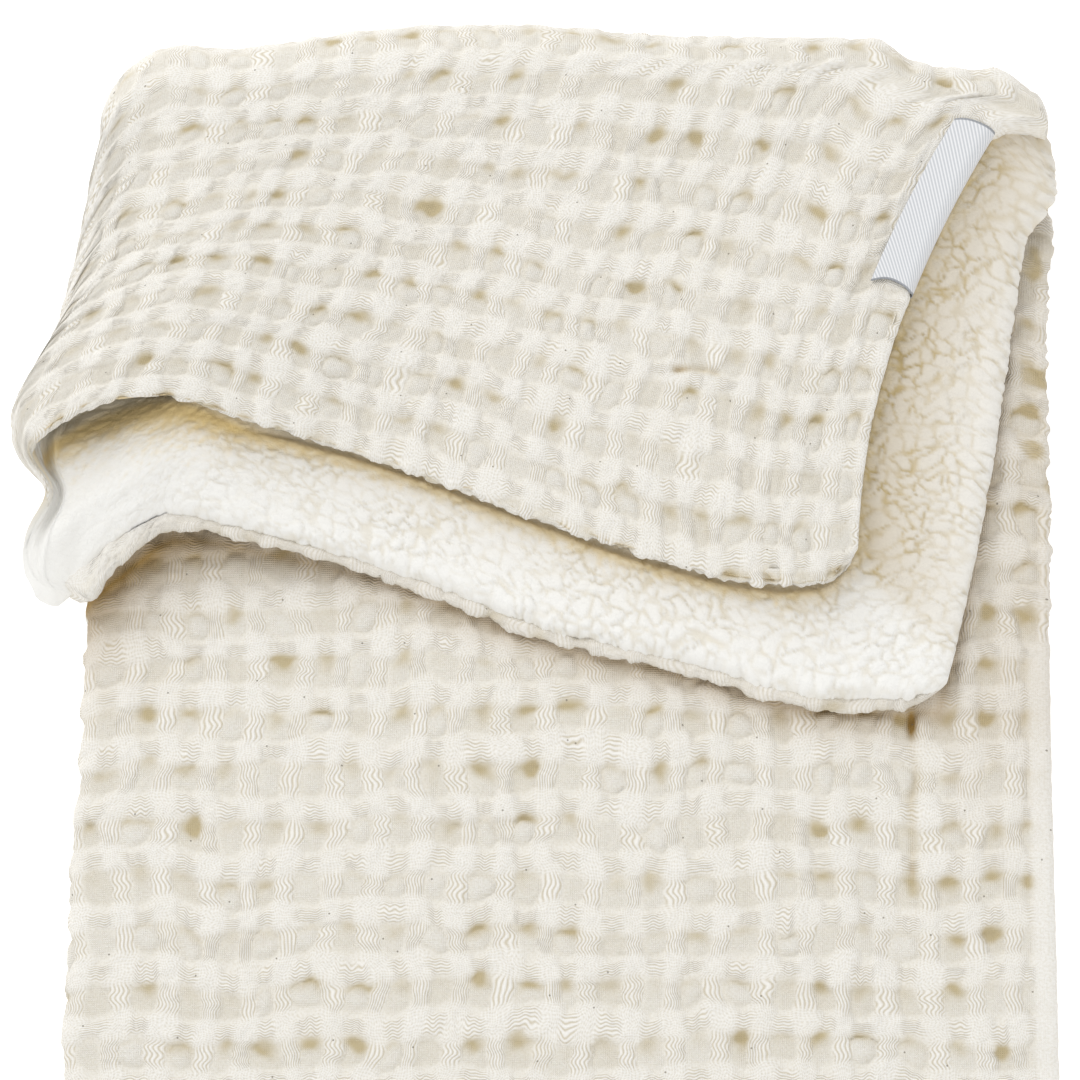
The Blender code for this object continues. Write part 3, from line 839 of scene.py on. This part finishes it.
NUB = 0.0056  # between two nubs
NUB_HIGH = 0.0020
PILE_FACE = CLOTH_THICK + 0.0004
PILE_ROUND = 0.0065  # the width over which the pile rounds down to its edge
PILE_DROP = 0.0058
HEM_SHOWS = 0.0064  # how much of the hem the pile leaves bare
PILE_OVERHANG = 0.0060
DRAWN_BACK = 0.03  # the width of pile that gives way where it stops short of the hem
END_DRAWN_BACK = 0.1  # and its length at the far end
NUB_LUCK = (211, 197, 4)
nub_luck = np.random.default_rng(5).random(NUB_LUCK)


def nubs(u, v):
    """(height from 0 to 1, crack from 0 to 1) of the pile at points of the cloth."""
    a = u / NUB + 0.55 * wander(u, v, 0.019, 2) + 0.42 * wander(u, v, 0.0052, 4)
    b = v / NUB + 0.55 * wander(u, v, 0.016, 5) + 0.42 * wander(u, v, 0.0052, 1)
    i, j = np.floor(a).astype(int), np.floor(b).astype(int)
    first = np.full(len(u), 9.0)
    second = np.full(len(u), 9.0)
    grown = np.zeros(len(u))
    for di in (-1, 0, 1):
        for dj in (-1, 0, 1):
            chance = nub_luck[(i + di) % NUB_LUCK[0], (j + dj) % NUB_LUCK[1]]
            far = np.hypot(
                i + di + 0.05 + 0.9 * chance[:, 0] - a, j + dj + 0.05 + 0.9 * chance[:, 1] - b
            )
            far = far - 0.40 * chance[:, 2]
            nearer = far < first
            second = np.where(nearer, first, np.minimum(second, far))
            grown = np.where(nearer, chance[:, 3], grown)
            first = np.where(nearer, far, first)
    crack = 1 - smooth((second - first) / 0.30)
    open_here = smooth(0.5 + 0.5 * wander(u, v, 0.013, 6) + 0.5 * wander(u, v, 0.0045, 3))
    crack = crack * (0.35 + 0.65 * open_here)
    dome = np.sqrt(np.clip(1 - (np.clip(first, 0, None) / 1.15) ** 2, 0, 1))
    return dome * (0.60 + 0.40 * grown) * (1 - 0.55 * crack), crack


def pile(p, q):
    """The pile's face. It stops short of the hem, rounds over the free edges, and bulges out over
    the hem at the lengthwise fold."""
    flat_p, flat_q = p, q
    shows = (p > FOLD_MIDDLE) & (q > BODY_LENGTH)  # the lower layer's pile, face up
    beside_fold = bell((FOLD_ENDS + 0.030 - p) / 0.035)
    cap = capped(p) * (q > BODY_LENGTH)
    near_fold = bell((p - FOLD_MIDDLE) / 0.016)
    top_hem = (p < FOLD_MIDDLE) * (q > BODY_LENGTH)
    end = HEM_SHOWS * (1 - np.maximum(0.95 * near_fold, 0.70 * top_hem))
    end = end + 0.0115 * beside_fold * (1 - near_fold) * (1 - top_hem)
    end = (end + 0.0012 * wander(p, q, 0.0070, 4)) * (1 - cap)
    end = end - PILE_OVERHANG * cap
    side = np.where(shows, 0.0, 0.0030)
    full = CLOTH_LENGTH - END_DRAWN_BACK
    drawn = full + (q - full) * (END_DRAWN_BACK - end) / END_DRAWN_BACK
    q = np.where(q > full, drawn, q)
    drawn = HEM_SHOWS + q * (DRAWN_BACK - HEM_SHOWS) / DRAWN_BACK
    q = np.where(q < DRAWN_BACK, drawn, q)
    drawn = p - side * (p - CLOTH_WIDTH + DRAWN_BACK) / DRAWN_BACK
    p = np.where(p > CLOTH_WIDTH - DRAWN_BACK, drawn, p)
    p = np.where(p < DRAWN_BACK, p + side * (DRAWN_BACK - p) / DRAWN_BACK, p)
    near_u = np.clip(p, CORNER_RADIUS, CLOTH_WIDTH - CORNER_RADIUS)
    near_v = np.clip(q, CORNER_RADIUS, CLOTH_LENGTH - CORNER_RADIUS)
    round_u = CORNER_RADIUS - side
    round_v = CORNER_RADIUS - np.where(q > 0.5, end, HEM_SHOWS)
    x, y = (p - near_u) / round_u, (q - near_v) / round_v
    u = near_u + round_u * x * np.sqrt(np.clip(1 - y * y / 2, 0, 1))
    v = near_v + round_v * y * np.sqrt(np.clip(1 - x * x / 2, 0, 1))
    high, crack = nubs(flat_p, flat_q)
    # Its nubs lie flat and close beside the lengthwise fold
    calm = bell((p - FOLD_MIDDLE - 0.020) / 0.062) * (flat_q > BODY_LENGTH)
    calm = calm * smooth((flat_q - 0.91) / 0.03) * shows
    high, crack = high + (0.75 - high) * 0.75 * calm, crack * (1 - 0.9 * calm)
    left = np.minimum(np.minimum(p, CLOTH_WIDTH - p) - side, CLOTH_LENGTH - q - end)
    rounds = PILE_ROUND + 0.004 * cap + 0.006 * beside_fold * shows
    rounds = rounds * (1 - 0.5 * near_fold * (1 - cap))
    t = np.clip(left / rounds, 0, 1)
    drop = PILE_DROP + 0.0022 * top_hem
    drop = drop * (1 - 0.30 * beside_fold * shows * (1 - near_fold))
    drop = drop + (CLOTH_THICK + 0.0015 - drop) * cap
    w = PILE_FACE - drop * (1 - np.sqrt(1 - (1 - t) ** 2)) - NUB_HIGH * (1 - high)
    fine = 0.6 * wander(p, q, 0.0026, 1) + 0.4 * wander(p, q, 0.0016, 4)
    w = w + 0.00035 * fine * (1 - 0.7 * calm)
    swept = (1 - t) * (0.0010 + high * 0.0018 + 0.0006 * fine) * shows * (1 - 0.8 * beside_fold)
    u, v = u + swept * np.clip(x, 0, 1), v + swept * np.clip(y, 0, 1)
    places = blunted(settle(laid(u, v, w)), q)
    # The lower layer's pile is in the shade beside and below the top layer
    past_side, below_hem = beyond(places, *top_outline)
    out = np.where(below_hem > 0, np.hypot(below_hem, np.clip(past_side, 0, None)), past_side)
    out = np.where((below_hem <= 0) & (past_side <= 0), np.maximum(below_hem, past_side), out)
    corner = np.hypot(below_hem + CORNER_RADIUS, past_side + CORNER_RADIUS) - CORNER_RADIUS
    out = np.where((below_hem > -CORNER_RADIUS) & (past_side > -CORNER_RADIUS), corner, out)
    far = np.clip(out, 0, None)
    # It stands up beside the top layer's hem, and plump at the far hem beside the fold
    x, y, z = places.T
    crest = cap * smooth((q - 0.97) / 0.03) * smooth(t / 0.3)
    x = x - 0.0025 * crest
    stands = 0.0036 * smooth((out + 0.0035) / 0.004) * bell(far / 0.020)
    puff = 0.0095 * (1 - smooth((x + 0.150) / 0.060)) * smooth((below_hem + 0.014) / 0.009)
    puff = puff * smooth((q - 0.90) / 0.03) * smooth(left / 0.034)
    z = z + np.maximum(puff, stands * t**0.5) * smooth((flat_p - FOLD_MIDDLE - 0.001) / 0.012)
    places = np.column_stack((x, y, z))
    # Painted warm shade on the tufts in the gap under the hem, whose tips end unevenly, and on the
    # top layer's own pile edge there
    deep = 0.0030 + 0.0062 * bell((x + 0.158) / 0.040)
    tips = far * (1 + 0.35 * wander(p, q, 0.0024, 3) + 0.25 * wander(p, q, 0.0013, 6)) / deep
    painted_gap_shade = 1.15 * np.exp(-(tips**1.5)) * (0.40 + 0.60 * smooth((below_hem + deep) / 0.008))
    painted_gap_shade = painted_gap_shade * np.exp(np.minimum(out, 0) / (2.5 * deep))
    own_edge_shade = 0.85 * (1 - smooth((CLOTH_LENGTH - q - end) / 0.014)) * (q > BODY_LENGTH)
    own_edge_shade = own_edge_shade * (1 - 0.45 * smooth((p - 0.350) / 0.015)) * (1 - cap)
    painted_gap_shade = np.clip(np.where(shows, painted_gap_shade, own_edge_shade), 0, 1)
    shade = 0.16 * bell(far / 0.020) * (1 - 0.8 * calm)
    shade = shade + 0.50 * bell(far / 0.045) * smooth((past_side - below_hem) / 0.02)
    shade = np.clip(shade, 0, 1) * shows
    return places, p, q, {"tufts": (crack, painted_gap_shade, shade, np.ones(len(u)))}


PILE_STEP = 0.0011
near_side = (0.0, DRAWN_BACK, 0.0022)
teddy_cloths = sheets(
    {
        "teddy_lower_layer": (
            stations((FOLD_MIDDLE - 0.010, CLOTH_WIDTH, PILE_STEP)),
            stations((BODY_LENGTH + 0.02, CLOTH_LENGTH, PILE_STEP)),
        ),
        "teddy_top_layer": (
            stations((0.0, DRAWN_BACK, 0.0020), (DRAWN_BACK, FOLD_MIDDLE - 0.010, 0.0020)),
            stations((BODY_LENGTH, 0.970, 0.0060), (0.970, CLOTH_LENGTH, 0.0012)),
        ),
        "teddy_strip_lower": (
            stations(near_side, (DRAWN_BACK, FOLD_MIDDLE, 0.0060)),
            stations(near_side, (DRAWN_BACK, BODY_LENGTH + 0.004, 0.0060)),
        ),
        "teddy_strip_upper": (
            stations(
                (FOLD_MIDDLE, CLOTH_WIDTH - DRAWN_BACK, 0.0046),
                (CLOTH_WIDTH - DRAWN_BACK, CLOTH_WIDTH, 0.0022),
            ),
            stations(near_side, (DRAWN_BACK, BODY_LENGTH + 0.022, 0.0050)),
        ),
    },
    pile,
    inward=True,
)

# Cotton pile, knitted and tumbled so that it curls: matt, with a faint bloom of loose ends, and
# painted warm shade where the tufts close over a crack and in the gap under the top layer's hem
CURL_SCALE = 560.0  # one curl, 1.8 mm
teddy, tree, uv = new_material("cotton teddy pile")
tufts = add_node(tree, "Attribute", attribute_name="tufts").outputs["Color"]
tuft = add_node(tree, "SeparateColor", (tufts,)).outputs
curl = add_node(
    tree,
    "TexNoise",
    {"Vector": uv, "Scale": CURL_SCALE, "Detail": 4.0, "Roughness": 0.6, "Distortion": 1.2},
).outputs["Fac"]
# the painted shade in the cracks is stronger where the top layer shades the pile
crack_shade_strength = add_node(tree, "Math", (tuft["Blue"], 1.3, 0.26), operation="MULTIPLY_ADD")
colour = toned(
    tree,
    linear("#F3F2EE"),
    (tuft["Red"], crack_shade_strength, "#C9B789"),  # painted shade in the cracks
    (tuft["Blue"], 0.8, "#B9A273"),  # the shade under the top layer
    (tuft["Green"], 0.9, "#E6CD8E"),  # painted warm shade on the gap's tufts
)
shader = add_node(
    tree,
    "BsdfPrincipled",
    {
        "Base Color": colour,
        "Roughness": 1.0,
        "Normal": add_node(tree, "Bump", {"Strength": 0.7, "Distance": 0.0006, "Height": curl}),
        "Specular IOR Level": 0.1,
        "Sheen Weight": 0.2,
        "Sheen Roughness": 0.6,
    },
)
add_node(tree, "OutputMaterial", {"Surface": shader})

for piece, flat in teddy_cloths.items():
    piece.data.materials.append(teddy)
    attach(piece, "root")
    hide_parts("teddy_lining")

# ---------------------------------------------------------------------------------------------
# The label: a pale woven tape, folded round the top layer's free edge beside the bend and sewn
# along its ends. It is blank.

LABEL_UNDER_LEG = 0.0080
LABEL_CLEAR = 0.0009  # outside the hem's roll
LABEL_SLANT = 0.0050  # it was sewn on a little askew
TAPE_THICK = 0.0005
TAPE_STEP = 0.0006
END_SHADOW_WIDTH = 0.0008  # the painted shadow line's width at each end
label_turn = math.pi * (CLOTH_THICK / 2 + LABEL_CLEAR)


def tape(p, q):
    """The tape's outer face: p runs round the edge, from the end of its top leg."""
    flat = LABEL_LEG - RIM
    p = p + 0.0035 - LABEL_SLANT * q / LABEL_LENGTH
    t = np.clip((p - flat) / label_turn, 0, 1)
    past = np.clip(p - flat - label_turn, 0, None)
    u = np.where(p < flat, flat + RIM - p, RIM - (RIM + LABEL_CLEAR) * np.sin(math.pi * t) + past)
    w = CLOTH_THICK / 2 - (CLOTH_THICK / 2 + LABEL_CLEAR) * np.cos(math.pi * t)
    arched = 0.0012 * np.sin(math.pi * np.clip(p / LABEL_LEG, 0, 1))
    slipped = LABEL_SLANT * np.clip(1 - p / LABEL_LEG, 0, 1) * (1 - q / LABEL_LENGTH) - arched
    places = laid(np.clip(u, 0, None), LABEL_FROM + q + slipped, w)
    places[:, 0] -= np.clip(u, None, 0)
    from_end = np.minimum(q, LABEL_LENGTH - q) / LABEL_LENGTH
    return places, p, q + slipped, {"from_end": (from_end, from_end, from_end, np.ones(len(q)))}


columns = stations((0.0, LABEL_LEG - RIM + label_turn + LABEL_UNDER_LEG - RIM, TAPE_STEP))
rows = stations((0.0, LABEL_LENGTH, 0.0010))
label = sheet_of("woven_label", columns, rows, tape, inward=True)
solidify = label.modifiers.new("thickness", "SOLIDIFY")
solidify.thickness = TAPE_THICK
solidify.offset = -1

# Polyester tape, woven in a fine twill: smooth and cool white, its slanting ribs just seen with
# painted shade in the grooves between them, and a painted shadow line at each end, where the cut
# end is folded under
TWILL = 0.0017  # between two ribs; drawn coarser than real so that it shows
label_tape, tree, uv = new_material("woven label tape, twill")
place = add_node(tree, "SeparateXYZ", (uv,)).outputs
slant = add_node(tree, "Math", (place["Y"], 0.9), operation="MULTIPLY")
slant = add_node(tree, "Math", (slant, place["X"]), operation="SUBTRACT")
twill = ridges(tree, add_node(tree, "Math", (slant, 1 / TWILL), operation="MULTIPLY"))
from_end = add_node(tree, "Attribute", attribute_name="from_end").outputs["Fac"]
end_shadow = add_node(tree, "Math", (from_end, END_SHADOW_WIDTH / LABEL_LENGTH), operation="LESS_THAN")
shader = add_node(
    tree,
    "BsdfPrincipled",
    {
        # painted shade in the twill's grooves, and a painted shadow line at each end
        "Base Color": toned(
            tree, linear("#C6C9CD"), (twill, 0.8, "#F5F5F6"), (end_shadow, 0.8, "#8E9196")
        ),
        "Roughness": 0.6,
        "Normal": add_node(tree, "Bump", {"Strength": 0.5, "Distance": 0.0002, "Height": twill}),
        "Specular IOR Level": 0.3,
    },
)
add_node(tree, "OutputMaterial", {"Surface": shader})
label.data.materials.append(label_tape)
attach(label, "root")
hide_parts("label")

# ---------------------------------------------------------------------------------------------
# The studio: a matt white floor, a broad soft light from the far left, a weaker one from the near
# right, and the camera above the near side, looking down at the turned-over end.

bpy.ops.object.select_all(action="DESELECT")
bpy.ops.mesh.primitive_plane_add(size=12, location=(0, 0, -0.0005))
floor = bpy.context.object
floor.name = "floor"
floor_paint = bpy.data.materials.new("white floor, matt")
floor_paint.use_nodes = True
paint = floor_paint.node_tree.nodes["Principled BSDF"].inputs
for socket, value in (
    ("Base Color", linear("#FDFDFD")),
    ("Roughness", 0.9),
    ("Specular IOR Level", 0.0),
    ("Emission Color", linear("#FFFFFF")),
    ("Emission Strength", 0.35),
):
    paint[socket].default_value = value
floor.data.materials.append(floor_paint)

world = bpy.data.worlds.new("studio")
bpy.context.scene.world = world
world.use_nodes = True
world.node_tree.nodes["Background"].inputs["Color"].default_value = linear("#FFFFFF")
world.node_tree.nodes["Background"].inputs["Strength"].default_value = 0.685

LIT_PLACE = (0, 0.15, 0)
Light = namedtuple("Light", "name size power place")
LIGHTS = (Light("key", 1.7, 23.5, (-0.9, 1.5, 1.5)), Light("fill", 2.0, 14, (0.5, -1.6, 1.3)))
for item in LIGHTS:
    bpy.ops.object.light_add(type="AREA", location=item.place)
    lamp = bpy.context.object
    lamp.name = item.name
    lamp.data.size = item.size
    lamp.data.energy = item.power
    away = np.array(item.place) - np.array(LIT_PLACE)
    tilt = math.acos(away[2] / np.linalg.norm(away))
    lamp.rotation_euler = (tilt, 0, math.atan2(away[0], -away[1]))

CAMERA_UP = math.radians(74)
CAMERA_AWAY = 1.5
CAMERA_LENS = 130  # mm, on a 36 mm sensor
CAMERA_LOOKS_AT = (-MIDDLE_X, 0.168 - MIDDLE_Y, 0.020)
bpy.ops.object.camera_add(
    location=(
        CAMERA_LOOKS_AT[0],
        CAMERA_LOOKS_AT[1] - CAMERA_AWAY * math.cos(CAMERA_UP),
        CAMERA_LOOKS_AT[2] + CAMERA_AWAY * math.sin(CAMERA_UP),
    ),
    rotation=(math.pi / 2 - CAMERA_UP, 0, 0),
)
camera = bpy.context.object
camera.name = "camera"
camera.data.lens = CAMERA_LENS
camera.data.sensor_width = 36
bpy.context.scene.camera = camera
bpy.context.scene.view_settings.view_transform = "Standard"
